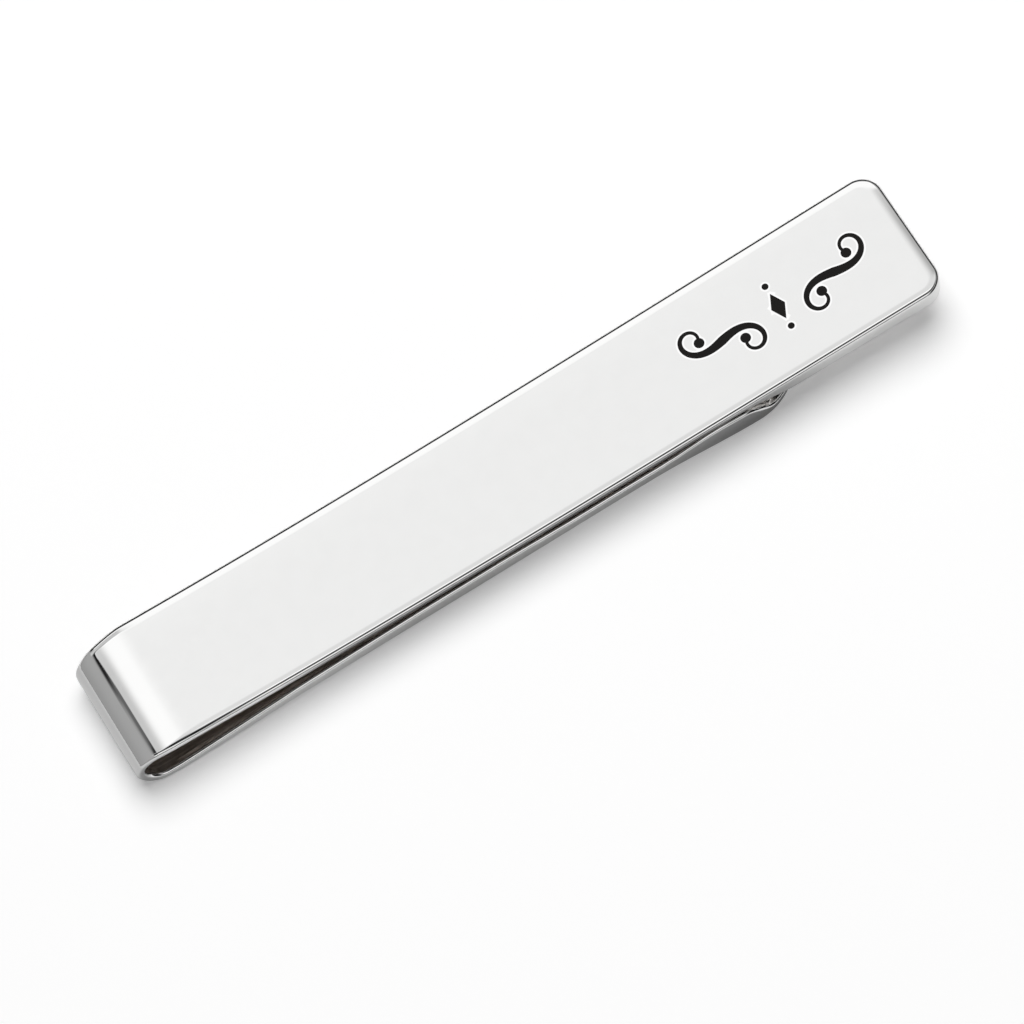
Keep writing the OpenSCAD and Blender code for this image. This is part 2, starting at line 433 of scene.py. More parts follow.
def tray_ring(skin, outline, profile, outer_r, crown_at, outer_height, rim_extra, sign,
              inside_of, dull_and_shade_of, dull_and_shade_share):
    """Rings of vertices along an outline; outline(w, inset) gives a place in plan.

    sign is -1 where the outer face is on top and 1 where it is underneath.
    Returns rings[k][w].
    """
    count = len(crown_at)
    rings = []
    for k, (crown, inset, depth, drop, rim) in enumerate(profile):
        ring = []
        for w in range(count):
            crown_w = crown_at[w]
            a = crown * crown_w + inset
            x, y = outline(w, a)
            d = depth + drop * crown_drop(crown_w, outer_r) + rim * rim_extra(x)
            z = outer_height(x) + sign * d
            shade = inside_of(x) * inside_share(k)
            dull_and_shade = float(dull_and_shade_of(x)) * dull_and_shade_share(k)
            painted_shade = painted_shade_at(x, y, k) if sign < 0 else 0.0
            ring.append(skin.add((x, y, z), shade, 0.0, dull_and_shade, painted_shade))
        rings.append(ring)
    return rings


def station_list(spans):
    """Stations along X from spans of (end, step), each next to the last."""
    stations = [fold_r]
    for end, step in spans:
        count = max(1, round((end - stations[-1]) / step))
        start = stations[-1]
        stations += [start + (end - start) * i / count for i in range(1, count + 1)]
    return stations


def half_w_at(x, end_x, end_half_w):
    """Half the plate's width, which grows evenly from the fold to end_x."""
    return fold_w / 2 + (end_half_w - fold_w / 2) * (x - fold_r) / (end_x - fold_r)


def plate_outline(stations):
    """The plate's outline in plan as a list of functions of the inset."""
    straight_x = clip_l - corner_r
    end_half = plate_end_w / 2
    points = []

    def side_point(x, side):
        worn = wear(fold_r - x, side)

        def at(inset):
            half = half_w_at(x, straight_x, end_half) - worn
            return x, side * (half - inset)
        return at

    def arc_point(angle, side):
        def at(inset):
            r = corner_r - inset
            x = straight_x + r * math.sin(angle)
            return x, side * (end_half - corner_r + r * math.cos(angle))
        return at

    def end_point(y):
        return lambda inset: (clip_l - inset, y)

    points += [side_point(x, -1) for x in stations]
    points += [arc_point(math.pi / 2 * i / CORNER_STEPS, -1) for i in range(1, CORNER_STEPS + 1)]
    flat = end_half - corner_r
    points += [end_point(flat * (2 * i / END_STEPS - 1)) for i in range(1, END_STEPS)]
    points += [arc_point(math.pi / 2 * i / CORNER_STEPS, 1) for i in range(CORNER_STEPS, 0, -1)]
    points += [side_point(x, 1) for x in reversed(stations)]
    return points


def spread_at(x):
    """How much wider the leg is at x, on each side."""
    return leg_spread * float(1 - ease(x, spread_from_x, spread_end_x))


def leg_outline(stations):
    """The leg's outline in plan: straight sides that end in a half round."""
    half = fold_w / 2
    centre_x = tip_x - half
    points = []

    def side_point(x, side):
        worn = wear(fold_arc + x - fold_r, side) - spread_at(x)
        return lambda inset: (x, side * (half - worn - inset))

    def round_point(angle):
        def at(inset):
            r = half - inset
            return centre_x + r * math.cos(angle), r * math.sin(angle)
        return at

    points += [side_point(x, -1) for x in stations]
    points += [round_point(math.pi * (i / TIP_STEPS - 0.5)) for i in range(1, TIP_STEPS)]
    points += [side_point(x, 1) for x in reversed(stations)]
    return points


def no_mark(x, y=0.0):
    """For faces that carry no mark."""
    return 0.0


def plate_dull_and_shade_at(x):
    """Dullness and painted shade of the plate's outer walls."""
    start = fold_r + plate_dull_and_shade_from_l
    fade = 1 - ease(x, plate_dull_and_shade_end_x, plate_dull_and_shade_end_x + plate_dull_and_shade_end_run)
    return plate_dull_and_shade * ease(x, start, start + plate_dull_and_shade_run) * fade


def leg_dull_and_shade_at(x):
    """Dullness and painted shade of the leg's outer walls, which rise in two steps."""
    start = fold_r + leg_dull_and_shade_from_l
    again = fold_r + leg_dull_and_shade_again_l
    first = leg_dull_and_shade * ease(x, start, start + leg_dull_and_shade_run)
    return first + (1 - leg_dull_and_shade) * ease(x, again, again + leg_dull_and_shade_again_run)


def fold_dull_and_shade_at(turned, k):
    """Dullness and painted shade of the fold's profile row k where the strip has turned by a share of
    its half turn.
    """
    wall = fold_dull_and_shade * float(rise_and_fall(turned, *fold_dull_and_shade_turns))
    face = fold_face_dull_and_shade * float(rise_and_fall(turned, *fold_face_dull_and_shade_turns))
    if k > WALL_END:
        return 0.0
    return face + (wall - face) * wall_share(k)


def plate_inside_at(x):
    """The plate's inner face is brushed and darkened with painted shade as far as the leg covers it."""
    return 1.0 - plate_inside_loss * float(ease(x, inside_end_x, inside_end_x + inside_end_run))


def leg_inside_at(x):
    """The leg's inner face is brushed and darkened with painted shade too, and less so in its tip."""
    return 1.0 - leg_inside_loss * float(ease(x, crest_x + leg_inside_lead, belly_x + leg_inside_tail))


def fill_cap(skin, loop, height, owner, up, inside_of, spacing, holes=(), extra=(), halo_of=no_mark):
    """Triangles inside a loop of vertices, at height(x, y); holes are loops left open.

    Vertices are set spacing apart, and at the extra points where there is room.
    Returns the new vertices.
    """
    plan = [Vector(skin.points[i][:2]) for i in loop]
    known = list(loop)
    faces = [list(range(len(loop)))]
    for hole in holes:
        faces.append([len(plan) + i for i in range(len(hole))])
        plan += [Vector(skin.points[i][:2]) for i in hole]
        known += list(hole)
    xs = [p.x for p in plan]
    ys = [p.y for p in plan]
    x = min(xs) + spacing
    margin = spacing * CAP_MARGIN_SHARE
    border = np.array([(p.x, p.y) for p in plan])
    scatter = []
    while x < max(xs) - margin:
        y = min(ys) + spacing
        while y < max(ys) - margin:
            scatter.append((x, y))
            y += spacing
        x += spacing
    placed = [(x, y, margin) for x, y in scatter]
    placed += [(x, y, halo_w * HALO_MARGIN_SHARE) for x, y in extra]
    for x, y, least in placed:
        gap = np.min(np.hypot(border[:, 0] - x, border[:, 1] - y))
        if gap > least:
            plan.append(Vector((x, y)))
            known.append(None)
    out, _, triangles, origins, _, face_ids = delaunay_2d_cdt(plan, [], faces, 1, 1e-6, True)
    numbers = [next((known[i] for i in ids if known[i] is not None), -1) for ids in origins]
    fresh = []
    for triangle, ids in zip(triangles, face_ids):
        if 0 not in ids or any(i > 0 for i in ids):
            continue
        corners = []
        for i in triangle:
            if numbers[i] < 0:
                x, y = out[i]
                numbers[i] = skin.add((x, y, height(x, y)), inside_of(x), halo_of(x, y))
                fresh.append(numbers[i])
            corners.append(numbers[i])
        a, b, c = (skin.points[i] for i in corners)
        turned = (b[0] - a[0]) * (c[1] - a[1]) - (b[1] - a[1]) * (c[0] - a[0]) > 0
        skin.face(corners if turned == up else corners[::-1], owner)
    return fresh


def offset_points(loop, gap):
    """Every second point of a loop, moved outward by the gap."""
    points = []
    for i in range(0, len(loop), 2):
        (ax, ay), (bx, by) = loop[i - 1], loop[(i + 1) % len(loop)]
        length = math.hypot(bx - ax, by - ay)
        x, y = loop[i]
        points.append((x + gap * (by - ay) / length, y - gap * (bx - ax) / length))
    return points


def heading(t):
    """Direction of a scroll's line at the share t of its half length from the middle."""
    return scroll_turn * t * t


def scroll_loop(steps=72, dot_steps=26):
    """Outline of an S-scroll about its middle: a stroke that winds in and ends in a dot."""
    line = [np.zeros(2)]
    for i in range(steps):
        a = heading((i + 0.5) / steps)
        line.append(line[-1] + scroll_half_l / steps * np.array([math.cos(a), math.sin(a)]))
    sides = []
    for i in range(steps + 1):
        t = i / steps
        a = heading(t)
        half = (stroke_end_w + (stroke_w - stroke_end_w) * (1 - t) ** stroke_taper) / 2
        sides.append(half * np.array([-math.sin(a), math.cos(a)]))
    a = heading(1)
    opening = math.asin(stroke_end_w / dot_d)
    centre = line[-1] + dot_d / 2 * math.cos(opening) * np.array([math.cos(a), math.sin(a)])
    dot = []
    for k in range(1, dot_steps):
        b = a + (math.pi - opening) * (1 - 2 * k / dot_steps)
        dot.append(centre + dot_d / 2 * np.array([math.cos(b), math.sin(b)]))
    half = [line[i] + sides[i] for i in range(steps + 1)] + dot
    half += [line[i] - sides[i] for i in range(steps, 0, -1)]
    return half + [-p for p in half]


def scroll_plan(side):
    """Outline of the scroll on one side of the lozenge, in place."""
    turn = np.array([
        [math.cos(scroll_tilt), math.sin(scroll_tilt)],
        [-math.sin(scroll_tilt), math.cos(scroll_tilt)],
    ])
    loop = []
    for p in scroll_loop():
        x, y = turn @ p + np.array([scroll_offset, 0])
        loop.append((clip_l - ornament_end_l + side * x, y))
    return loop[::-1] if side > 0 else loop


def centre_plans():
    """The lozenge with slightly hollow sides, and the two dots beside it."""
    cx = clip_l - ornament_end_l
    corners = [(lozenge_l / 2, 0), (0, lozenge_w / 2), (-lozenge_l / 2, 0), (0, -lozenge_w / 2)]
    side_steps = 6
    lozenge = []
    for (ax, ay), (bx, by) in zip(corners, corners[1:] + corners[:1]):
        for i in range(side_steps):
            t = i / side_steps
            lozenge.append((cx + ax + (bx - ax) * t, ay + (by - ay) * t))
    plans = [lozenge]
    dot_steps = 32
    for side in (-1, 1):
        angles = [2 * math.pi * i / dot_steps for i in range(dot_steps)]
        r = small_dot_d / 2
        plans.append([(cx + r * math.cos(a), side * small_dot_offset + r * math.sin(a)) for a in angles])
    return plans


ornament = {
    "left_scroll_fill": [scroll_plan(-1)],
    "right_scroll_fill": [scroll_plan(1)],
    "centre_fill": centre_plans(),
}


def build_strip():
    """The whole strip as one skin: plate, fold and leg share the vertices where they meet."""
    skin = Skin()
    plate_x = station_list([(fold_r + PLATE_FINE_RUN, FINE_STEP), (clip_l - corner_r, EDGE_STEP)])
    outline = plate_outline(plate_x)
    end_from = len(plate_x)
    count = len(outline)
    crown = []
    for w in range(count):
        from_fold = min(w, count - 1 - w)
        side = -1 if w == from_fold else 1
        base = crown_side_w
        if from_fold < end_from:
            base = crown_width(plate_x[from_fold], side, crown_side_w)
        end_share = float(ease(from_fold, end_from - CROWN_LEAD_STEPS, end_from + CORNER_STEPS))
        crown.append(base + (crown_end_w - base) * end_share)
    plate = tray_ring(
        skin, lambda w, inset: outline[w](inset), PLATE_PROFILE, outer_edge_r, crown, plate_top,
        lambda x: plate_top(x) - plate_low(x) - strip_t, -1, plate_inside_at, plate_dull_and_shade_at,
        wall_and_under_share)
    skin.grid(plate, "front_plate", flip=True)

    leg_x = station_list([(fold_r + LEG_FINE_RUN, FINE_STEP), (flat_x, LEG_STEP),
                          (tip_x - fold_w / 2, TIP_STEP)])
    leg_line = leg_outline(leg_x)
    leg_crown = [leg_crown_w] * len(leg_line)
    for w, x in enumerate(leg_x):
        leg_crown[w] = crown_width(x, -1, leg_crown_w)
        leg_crown[-1 - w] = crown_width(x, 1, leg_crown_w)
    leg = tray_ring(
        skin, lambda w, inset: leg_line[w](inset), LEG_PROFILE, leg_edge_r, leg_crown, leg_low,
        lambda x: edge_h(x) - strip_t, 1, leg_inside_at, leg_dull_and_shade_at, wall_share)
    skin.grid(leg, "spring_leg")

    fold_body(skin, plate, leg)

    loops = []
    around = []
    first_flat = len(skin.faces)
    for plans in ornament.values():
        for plan in plans:
            # The engraving's top edge carries the full painted highlight
            top = [skin.add((x, y, float(plate_top(x))), 0.0, 1.0) for x, y in plan]
            floor = [skin.add((x, y, float(plate_top(x)) - engrave_depth)) for x, y in plan]
            skin.grid([top + top[:1], floor + floor[:1]], "front_plate")
            fill_cap(skin, floor, lambda x, y: float(plate_top(x)) - engrave_depth,
                     "front_plate", True, no_mark, RECESS_CAP_STEP)
            loops.append(top)
            around += offset_points(plan, halo_w)
    skin.flatten_from(first_flat)
    edges = np.array([skin.points[i][:2] for loop in loops for i in loop])

    # The painted highlight round the engraving: 1 at its edge, 0 at halo_w from it
    def halo_of(x, y):
        return max(0.0, 1 - float(np.min(np.hypot(edges[:, 0] - x, edges[:, 1] - y))) / halo_w)

    outer_loop = [plate[0][w] for w in range(count)] + skin.plate_outer_row
    inner_loop = [plate[-1][w] for w in range(count)] + skin.plate_inner_row
    fresh = fill_cap(skin, outer_loop, lambda x, y: float(plate_top(x)), "front_plate", True,
                     no_mark, PLATE_CAP_STEP, loops, around, halo_of)
    skin.front = fresh + outer_loop + [i for loop in loops for i in loop]
    fill_cap(skin, inner_loop, lambda x, y: float(plate_top(x)) - strip_t, "front_plate",
             False, plate_inside_at, PLATE_CAP_STEP)

    leg_outer = [leg[0][w] for w in range(len(leg_line))] + skin.leg_outer_row
    leg_inner = [leg[-1][w] for w in range(len(leg_line))] + skin.leg_inner_row
    fill_cap(skin, leg_outer, lambda x, y: float(leg_low(x)), "spring_leg", False, no_mark,
             LEG_CAP_STEP)
    fill_cap(skin, leg_inner, lambda x, y: float(leg_low(x)) + strip_t, "spring_leg",
             True, leg_inside_at, LEG_CAP_STEP)
    return skin


def fold_body(skin, plate, leg):
    """The half-round fold, between the first stations of the plate and of the leg."""
    near, far, outer, inner = [], [], [], []
    for i in range(FOLD_STEPS + 1):
        angle = math.pi * i / FOLD_STEPS
        turned = i / FOLD_STEPS
        share = float(ease(turned, leg_edge_from_turn, 1.0))
        profile = PLATE_PROFILE + (LEG_PROFILE - PLATE_PROFILE) * share
        outer_r = outer_edge_r + (leg_edge_r - outer_edge_r) * share
        ends = {}
        for side, crown_w, start, end in ((-1, near_crown_w, 0, 0), (1, far_crown_w, -1, -1)):
            if i == 0:
                row = [ring[start] for ring in plate]
            elif i == FOLD_STEPS:
                row = [ring[end] for ring in leg]
            else:
                row = []
                half = fold_w / 2 - wear(fold_r * angle, side)
                half += leg_spread * share
                for k, (crown, inset, depth, drop, _) in enumerate(profile):
                    y = side * (half - crown * crown_w - inset)
                    r = fold_r - depth - drop * crown_drop(crown_w, outer_r)
                    place = (fold_r - r * math.sin(angle), y, fold_r + r * math.cos(angle))
                    row.append(skin.add(place, inside_share(k), 0.0, fold_dull_and_shade_at(turned, k)))
            ends[side] = row
        near.append(ends[-1])
        far.append(ends[1])
        outer.append(cross_row(skin, ends[-1][0], ends[1][0], 0.0, fold_dull_and_shade_at(turned, 0)))
        inner.append(cross_row(skin, ends[-1][-1], ends[1][-1], 1.0))
    skin.grid(near, "fold", flip=True)
    skin.grid(far, "fold")
    skin.grid(outer, "fold")
    skin.grid(inner, "fold", flip=True)
    skin.plate_outer_row = outer[0][1:-1][::-1]
    skin.plate_inner_row = inner[0][1:-1][::-1]
    skin.leg_outer_row = outer[-1][1:-1][::-1]
    skin.leg_inner_row = inner[-1][1:-1][::-1]
    skin.seams = {
        "front": near[0] + inner[0][1:-1] + far[0][::-1] + outer[0][1:-1][::-1],
        "leg": near[-1] + inner[-1][1:-1] + far[-1][::-1] + outer[-1][1:-1][::-1],
    }


def cross_row(skin, a, b, inside, dull_and_shade=0.0):
    """Vertices across the strip from a to b, both kept."""
    pa, pb = np.array(skin.points[a]), np.array(skin.points[b])
    places = [pa + (pb - pa) * i / CROSS_STEPS for i in range(1, CROSS_STEPS)]
    return [a] + [skin.add(place, inside, 0.0, dull_and_shade) for place in places] + [b]


def frame_places(skin):
    """The skin's vertices in metres, in the frame's own place."""
    return [((x + fold_end_x) * MM, y * MM, z * MM) for x, y, z in skin.points]


def add_object(name, data):
    thing = bpy.data.objects.new(name, data)
    bpy.context.scene.collection.objects.link(thing)
    return thing


def make_pieces(skin):
    """One mesh for each owner, shaded with the normals of the whole strip so that no seam shows."""
    whole = bpy.data.meshes.new("whole_strip")
    places = frame_places(skin)
    whole.from_pydata(places, [], [f for i, f in enumerate(skin.faces) if i not in skin.flat])
    whole.update()
    normals = [tuple(n.vector) for n in whole.vertex_normals]
    bpy.data.meshes.remove(whole)
    for i in skin.front:
        x = skin.points[i][0]
        rise = float(plate_top(x + SLOPE_REACH) - plate_top(max(x - SLOPE_REACH, fold_r)))
        slope = rise / (2 * SLOPE_REACH)
        normals[i] = tuple(Vector((-slope, 0, 1)).normalized())
    pieces = {}
    for owner, name, seams in (
        ("front_plate", "front_plate_metal", ["front"]),
        ("fold", "fold_metal", ["front", "leg"]),
        ("spring_leg", "spring_leg_metal", ["leg"]),
    ):
        chosen = [i for i, who in enumerate(skin.owner) if who == owner]
        faces = [skin.faces[i] for i in chosen]
        smooth = [i not in skin.flat for i in chosen]
        for seam in seams:
            corners = skin.seams[seam]
            outwards = (owner == "fold") == (seam == "front")
            faces.append(tuple(corners if outwards else corners[::-1]))
            smooth.append(False)
        used = sorted({i for f in faces for i in f})
        number = {old: new for new, old in enumerate(used)}
        mesh = bpy.data.meshes.new(name)
        mesh.from_pydata([places[i] for i in used], [], [[number[i] for i in f] for f in faces])
        mesh.update()
        mesh.shade_smooth()
        loop_normals = []
        for polygon in mesh.polygons:
            flat = tuple(polygon.normal)
            for i in polygon.vertices:
                loop_normals.append(normals[used[i]] if smooth[polygon.index] else flat)
        mesh.normals_split_custom_set(loop_normals)
        for label, values in skin.marks.items():
            layer = mesh.attributes.new(label, "FLOAT", "POINT")
            layer.data.foreach_set("value", np.array([values[i] for i in used], np.float32))
        pieces[owner] = add_object(name, mesh)
    return pieces


def fill_piece(name, plans):
    """Black fill in its recess: a closed solid under a flat top just below the face."""
    skin = Skin()
    for plan in plans:
        top = [skin.add((x, y, float(plate_top(x)) - fill_sink)) for x, y in plan]
        floor = [skin.add((x, y, float(plate_top(x)) - engrave_depth)) for x, y in plan]
        skin.grid([top + top[:1], floor + floor[:1]], name, flip=True)
        fill_cap(skin, top, lambda x, y: float(plate_top(x)) - fill_sink, name, True,
                 no_mark, RECESS_CAP_STEP)
        fill_cap(skin, floor, lambda x, y: float(plate_top(x)) - engrave_depth, name, False,
                 no_mark, RECESS_CAP_STEP)
    mesh = bpy.data.meshes.new(name)
    mesh.from_pydata(frame_places(skin), [], skin.faces)
    mesh.update()
    return add_object(name, mesh)


class Nodes:
    """Short calls for building a node tree."""

    def __init__(self, tree):
        self.tree = tree

    def add(self, kind, **settings):
        node = self.tree.nodes.new(kind)
        for key, value in settings.items():
            setattr(node, key, value)
        return node

    def link(self, source, target):
        if isinstance(source, (int, float, tuple)):
            target.default_value = source
        else:
            self.tree.links.new(source, target)

    def math(self, operation, a, b):
        node = self.add("ShaderNodeMath", operation=operation)
        self.link(a, node.inputs[0])
        self.link(b, node.inputs[1])
        return node.outputs[0]

    def step(self, value, low, high):
        """Goes smoothly from 0 at low to 1 at high; low may be the greater."""
        node = self.add("ShaderNodeMapRange", interpolation_type="SMOOTHSTEP")
        self.link(value, node.inputs["Value"])
        node.inputs["From Min"].default_value = low
        node.inputs["From Max"].default_value = high
        return node.outputs["Result"]

    def mix(self, share, a, b):
        """Mix of two numbers."""
        node = self.add("ShaderNodeMix", data_type="FLOAT")
        self.link(share, node.inputs["Factor"])
        self.link(a, node.inputs["A"])
        self.link(b, node.inputs["B"])
        return node.outputs["Result"]

    def mix_color(self, share, a, b):
        node = self.add("ShaderNodeMix", data_type="RGBA")
        self.link(share, node.inputs["Factor"])
        self.link(a, node.inputs[6])
        self.link(b, node.inputs[7])
        return node.outputs[2]

    def noise(self, vector, scale, detail=3.0):
        node = self.add("ShaderNodeTexNoise")
        self.link(vector, node.inputs["Vector"])
        node.inputs["Scale"].default_value = scale
        node.inputs["Detail"].default_value = detail
        return node.outputs["Fac"]

    def stretched(self, vector, scale):
        node = self.add("ShaderNodeMapping")
        self.link(vector, node.inputs["Vector"])
        node.inputs["Scale"].default_value = scale
        return node.outputs["Vector"]

    def bump(self, height, strength, distance):
        node = self.add("ShaderNodeBump")
        self.link(height, node.inputs["Height"])
        node.inputs["Strength"].default_value = strength
        node.inputs["Distance"].default_value = distance
        return node.outputs["Normal"]


def new_material(name):
    material = bpy.data.materials.new(name)
    material.use_nodes = True
    nodes = Nodes(material.node_tree)
    return material, nodes, material.node_tree.nodes["Principled BSDF"]


def polished_metal():
    """Mirror-polished silver metal, by the marks on the mesh: brushed and darkened with painted shade
    on the inner faces, dull and darkened with painted shade on the outer walls, painted shade in a
    black line beside the fold and low on the plate's edge, and a painted highlight in a narrow rim
    round the engraving."""
    material, n, shader = new_material("polished_metal")
    place = n.add("ShaderNodeTexCoord").outputs["Object"]
    marks = {label: n.add("ShaderNodeAttribute", attribute_name=label).outputs["Fac"]
             for label in ("inside", "halo", "dull_and_shade", "painted_shade")}
    grain = n.noise(n.stretched(place, (350.0, 5200.0, 5200.0)), 1.0, 4.0)
    blotch = n.noise(place, 900.0, 3.0)
    bright = n.mix_color(n.step(blotch, 0.3, 0.7), (0.815, 0.815, 0.81, 1), (0.825, 0.825, 0.82, 1))
    # Painted highlight: the metal is near white in a narrow rim round the engraving
    bright = n.mix_color(n.step(marks["halo"], 0.2, 0.45), bright, (0.97, 0.97, 0.97, 1))
    # Painted shade: the dull walls are darkened in colour, besides the rougher finish set below
    bright = n.mix_color(marks["dull_and_shade"], bright, (0.33, 0.33, 0.33, 1))
    # Painted shade: near black in the line beside the fold and on the plate's lower edge
    bright = n.mix_color(marks["painted_shade"], bright, (0.03, 0.03, 0.03, 1))
    # Inner faces: brushed grain streaks in a darker colour that paints shade between the parts
    streak = n.mix_color(n.step(grain, 0.35, 0.75), (0.45, 0.41, 0.38, 1), (0.85, 0.80, 0.76, 1))
    n.link(n.mix_color(marks["inside"], bright, streak), shader.inputs["Base Color"])
    smooth = n.mix(n.step(blotch, 0.35, 0.7), 0.025, 0.05)
    smooth = n.mix(marks["dull_and_shade"], smooth, 0.14)
    n.link(n.mix(marks["inside"], smooth, 0.38), shader.inputs["Roughness"])
    shader.inputs["Metallic"].default_value = 1.0
    height = n.mix(marks["inside"], n.math("MULTIPLY", blotch, 0.02), grain)
    n.link(n.bump(height, 0.25, 0.00002), shader.inputs["Normal"])
    return material


def black_fill():
    """Satin black fill with a faint unevenness."""
    material, n, shader = new_material("black_fill")
    place = n.add("ShaderNodeTexCoord").outputs["Object"]
    cloud = n.noise(place, 2500.0, 4.0)
    black = n.mix_color(cloud, (0.003, 0.003, 0.003, 1), (0.012, 0.010, 0.009, 1))
    n.link(black, shader.inputs["Base Color"])
    n.link(n.mix(cloud, 0.42, 0.62), shader.inputs["Roughness"])
    n.link(n.bump(cloud, 0.3, 0.00002), shader.inputs["Normal"])
    shader.inputs["Specular IOR Level"].default_value = 0.25
    return material


# Levels of the studio, as linear light where 1 is white
WHITE = 1.195
DARK = 0.012
DOME_LEVEL = 0.06
DOME_FRONT_LEVEL = 0.95
DOME_RIGHT_LEVEL = 0.45
DOME_LEFT_LEVELS = (0.36, 0.43)
CARD_LEVEL = 1.033
CARD_FADED_LEVEL = 0.68
CARD_RIGHT_LEVEL = 0.5
CARD_FRONT_LEVEL = 0.85
CARD_LEFT_LEVEL = 0.40
CARD_FAR_LEFT_LEVEL = 0.65
CARD_SLIT_LEVEL = 0.15
CARD_NEAR_SLIT_LEVEL = 0.03
FLOOR_COLOUR = 0.88
FLOOR_GLOW = 0.3
FLOOR_MIRROR_SHARE = 0.45

# Places and sizes of the studio in millimetres, from the frame's own origin
CARD_CENTRE = (0, 68, 160)
CARD_SIZE = (190, 90)
FLOOR_SIZE = (3000, 3000)
FLOOR_MIRROR_FROM_X = -30.0
FLOOR_MIRROR_FULL_X = -24.0

# The lamp: its place and size in metres, and its power in watts
KEY_PLACE = (0.17, 0.31, 0.93)
KEY_SIZE = 0.95
KEY_POWER = 9.35


def reflected_or_seen(n):
    """1 for what is seen directly, in mirrors or through glass; 0 for the light on the scene."""
    path = n.add("ShaderNodeLightPath")
    seen = n.math("MAXIMUM", path.outputs["Is Camera Ray"], path.outputs["Is Glossy Ray"])
    seen = n.math("MAXIMUM", seen, path.outputs["Is Transmission Ray"])
    return n.math("MULTIPLY", seen, n.math("LESS_THAN", path.outputs["Diffuse Depth"], 0.5))


def build_world():
    """A plain dome of light. Mirrors see a studio in it: white high up behind, near white in
    front, grey to the left and the right, dark overhead on the camera's side and low behind."""
    world = bpy.data.worlds.new("studio")
    bpy.context.scene.world = world
    world.use_nodes = True
    n = Nodes(world.node_tree)
    background = world.node_tree.nodes["Background"]
    direction = n.add("ShaderNodeTexCoord").outputs["Generated"]
    split = n.add("ShaderNodeSeparateXYZ")
    n.link(direction, split.inputs["Vector"])
    x, y, z = split.outputs
    behind = n.step(z, 0.74, 0.78)
    level = n.mix(behind, DARK, WHITE)
    front = n.math("MULTIPLY", n.step(y, 0.0, -0.1), n.step(z, 0.30, 0.36))
    level = n.mix(front, level, DOME_FRONT_LEVEL)
    right = n.step(x, 0.12, 0.45)
    right_level = n.mix(n.step(z, 0.55, 0.80), DARK, DOME_RIGHT_LEVEL)
    level = n.mix(right, level, right_level)
    overhead = n.math("MULTIPLY", n.step(y, 0.10, 0.02), n.step(z, 0.84, 0.88))
    level = n.mix(overhead, level, DARK)
    slit = n.math("MULTIPLY", n.step(x, -0.04, -0.08), n.step(z, 0.75, 0.80))
    level = n.mix(slit, level, DARK)
    left = n.step(x, -0.24, -0.32)
    left_level = n.mix(n.step(z, 0.05, 0.8), *DOME_LEFT_LEVELS)
    level = n.mix(left, level, left_level)
    camera = n.add("ShaderNodeLightPath").outputs["Is Camera Ray"]
    level = n.mix(camera, level, 1.0)
    n.link(n.mix(reflected_or_seen(n), DOME_LEVEL, level), background.inputs["Color"])
    background.inputs["Strength"].default_value = 1.0


def flat_sheet(name, centre, size):
    """A level sheet, given in millimetres, with an empty material. Returns it and its nodes."""
    mesh = bpy.data.meshes.new(name)
    w, d = size[0] / 2, size[1] / 2
    corners = [(centre[0] + x, centre[1] + y) for x, y in ((-w, -d), (w, -d), (w, d), (-w, d))]
    mesh.from_pydata([(x * MM, y * MM, centre[2] * MM) for x, y in corners], [], [(0, 1, 2, 3)])
    material = bpy.data.materials.new(name)
    material.use_nodes = True
    material.node_tree.nodes.clear()
    mesh.materials.append(material)
    return add_object(name, mesh), Nodes(material.node_tree)


def build_card():
    """A card over the clip that only mirrors see."""
    card, n = flat_sheet("overhead_card", CARD_CENTRE, CARD_SIZE)
    card.visible_camera = False
    card.visible_diffuse = False
    card.visible_shadow = False
    split = n.add("ShaderNodeSeparateXYZ")
    n.link(n.add("ShaderNodeTexCoord").outputs["Object"], split.inputs["Vector"])
    x = n.math("DIVIDE", split.outputs[0], MM)
    y = n.math("DIVIDE", split.outputs[1], MM)
    glow = n.add("ShaderNodeEmission")
    n.link(n.math("MULTIPLY", reflected_or_seen(n), card_level(n, x, y)), glow.inputs["Strength"])
    out = n.add("ShaderNodeOutputMaterial")
    n.link(glow.outputs[0], out.inputs["Surface"])


def card_level(n, x, y):
    """The card's level at a place in millimetres. It is even over the plate. To the left it is
    whiter, then fades to a light grey that ends at a black slit, with a darker grey beyond.
    It is white behind, and fades to the right and the front."""
    level = n.mix(n.step(x, -5.4, -10.0), CARD_LEVEL, WHITE)
    level = n.mix(n.step(x, -14.0, -20.3), level, CARD_FADED_LEVEL)
    level = n.mix(n.step(x, 46.0, 90.0), level, CARD_RIGHT_LEVEL)
    level = n.mix(n.step(y, 66.0, 80.0), level, WHITE)
    away = n.math("MULTIPLY", n.math("MAXIMUM", n.math("SUBTRACT", y, 65.0), 0.0), 3.6)
    back = n.math("MULTIPLY", n.math("MAXIMUM", n.math("SUBTRACT", y, 69.5), 0.0), 7.0)
    lean = n.math("MAXIMUM", n.math("SUBTRACT", away, back), -24.0)
    across = n.math("ADD", x, lean)
    slit = n.mix(n.step(y, 65.5, 68.0), CARD_SLIT_LEVEL, DARK)
    slit = n.mix(n.step(y, 60.5, 58.5), slit, CARD_NEAR_SLIT_LEVEL)
    left = n.mix(n.step(across, -50.0, -88.0), slit, CARD_LEFT_LEVEL)
    left = n.mix(n.step(y, 76.0, 86.0), left, CARD_FAR_LEFT_LEVEL)
    level = n.mix(n.step(across, -26.0, -34.0), level, left)
    return n.mix(n.step(y, 55.0, 38.0), level, CARD_FRONT_LEVEL)


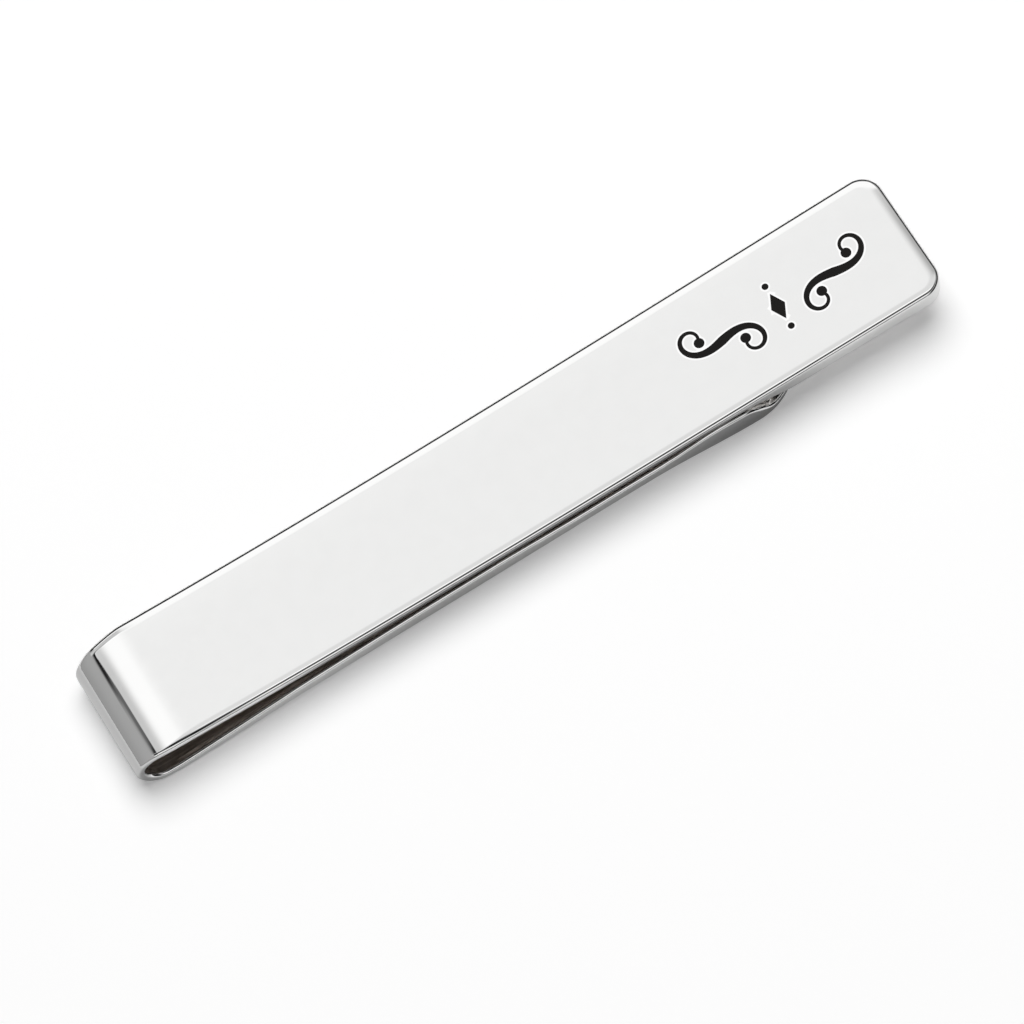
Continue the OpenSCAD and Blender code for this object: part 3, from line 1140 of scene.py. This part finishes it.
def build_floor():
    """Pale floor that keeps the clip's shadow. It glows a little for the camera, less in
    mirrors, and in mirrors not at all to the left of the clip."""
    floor, n = flat_sheet("floor", (0, 0, 0), FLOOR_SIZE)
    diffuse = n.add("ShaderNodeBsdfDiffuse")
    diffuse.inputs["Color"].default_value = (FLOOR_COLOUR, FLOOR_COLOUR, FLOOR_COLOUR, 1)
    glow = n.add("ShaderNodeEmission")
    path = n.add("ShaderNodeLightPath")
    place = n.add("ShaderNodeSeparateXYZ")
    n.link(n.add("ShaderNodeTexCoord").outputs["Object"], place.inputs["Vector"])
    right = n.step(place.outputs[0], FLOOR_MIRROR_FROM_X * MM, FLOOR_MIRROR_FULL_X * MM)
    share = n.math("MULTIPLY", right, FLOOR_MIRROR_SHARE)
    mirrored = n.math("MULTIPLY", path.outputs["Is Glossy Ray"], share)
    seen = n.math("MAXIMUM", path.outputs["Is Camera Ray"], mirrored)
    n.link(n.math("MULTIPLY", seen, FLOOR_GLOW), glow.inputs["Strength"])
    both = n.add("ShaderNodeAddShader")
    n.link(diffuse.outputs[0], both.inputs[0])
    n.link(glow.outputs[0], both.inputs[1])
    out = n.add("ShaderNodeOutputMaterial")
    n.link(both.outputs[0], out.inputs["Surface"])


def build_lamp():
    """One wide lamp, high behind the clip, that is turned to it."""
    data = bpy.data.lights.new("key", "AREA")
    data.shape = "DISK"
    data.size = KEY_SIZE
    data.energy = KEY_POWER
    lamp = add_object("key", data)
    lamp.location = KEY_PLACE
    lamp.rotation_euler = (-Vector(KEY_PLACE)).to_track_quat("-Z", "Y").to_euler()
    lamp.visible_glossy = False


# The camera stands in front, looks down steeply and is rolled. In millimetres: its distance,
# the width that it sees there, and the shift of its aim from a place over the clip's middle.
camera_yaw = math.radians(13.17)
camera_elevation = math.radians(67.57)
camera_roll = math.radians(-18.77)
camera_distance = 405.77
frame_width = 60.74
aim_right = 0.1375
aim_up = -1.870
aim_z = 1.75
SENSOR_WIDTH = 36.0
CLIP_START = 0.01


def build_camera():
    cos_e, sin_e = math.cos(camera_elevation), math.sin(camera_elevation)
    back = Vector((-math.sin(camera_yaw) * cos_e, -math.cos(camera_yaw) * cos_e, sin_e))
    level = Vector((math.cos(camera_yaw), -math.sin(camera_yaw), 0))
    upright = back.cross(level)
    right = level * math.cos(camera_roll) + upright * math.sin(camera_roll)
    up = back.cross(right)
    aim = Vector((0, 0, aim_z)) + right * aim_right + up * aim_up
    data = bpy.data.cameras.new("camera")
    data.sensor_width = SENSOR_WIDTH
    data.lens = data.sensor_width * camera_distance / frame_width
    data.clip_start = CLIP_START
    camera = add_object("camera", data)
    turn = Matrix((right, up, back)).transposed().to_4x4()
    camera.matrix_world = Matrix.Translation((aim + back * camera_distance) * MM) @ turn
    bpy.context.scene.camera = camera


metal = polished_metal()
pieces = make_pieces(build_strip())
for piece in pieces.values():
    piece.data.materials.append(metal)
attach(pieces["front_plate"], "bar")
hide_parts("front_plate")
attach(pieces["fold"], "bar")
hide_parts("fold_bow")
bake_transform(pieces["spring_leg"])
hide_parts("spring_leg", "lead_in_tip")

enamel = black_fill()
for node, plans in ornament.items():
    piece = fill_piece(node.replace("_fill", "_enamel"), plans)
    piece.data.materials.append(enamel)
    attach(piece, "bar")
    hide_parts(node)

build_floor()
build_world()
build_card()
build_lamp()
build_camera()
bpy.context.scene.view_settings.view_transform = "Standard"
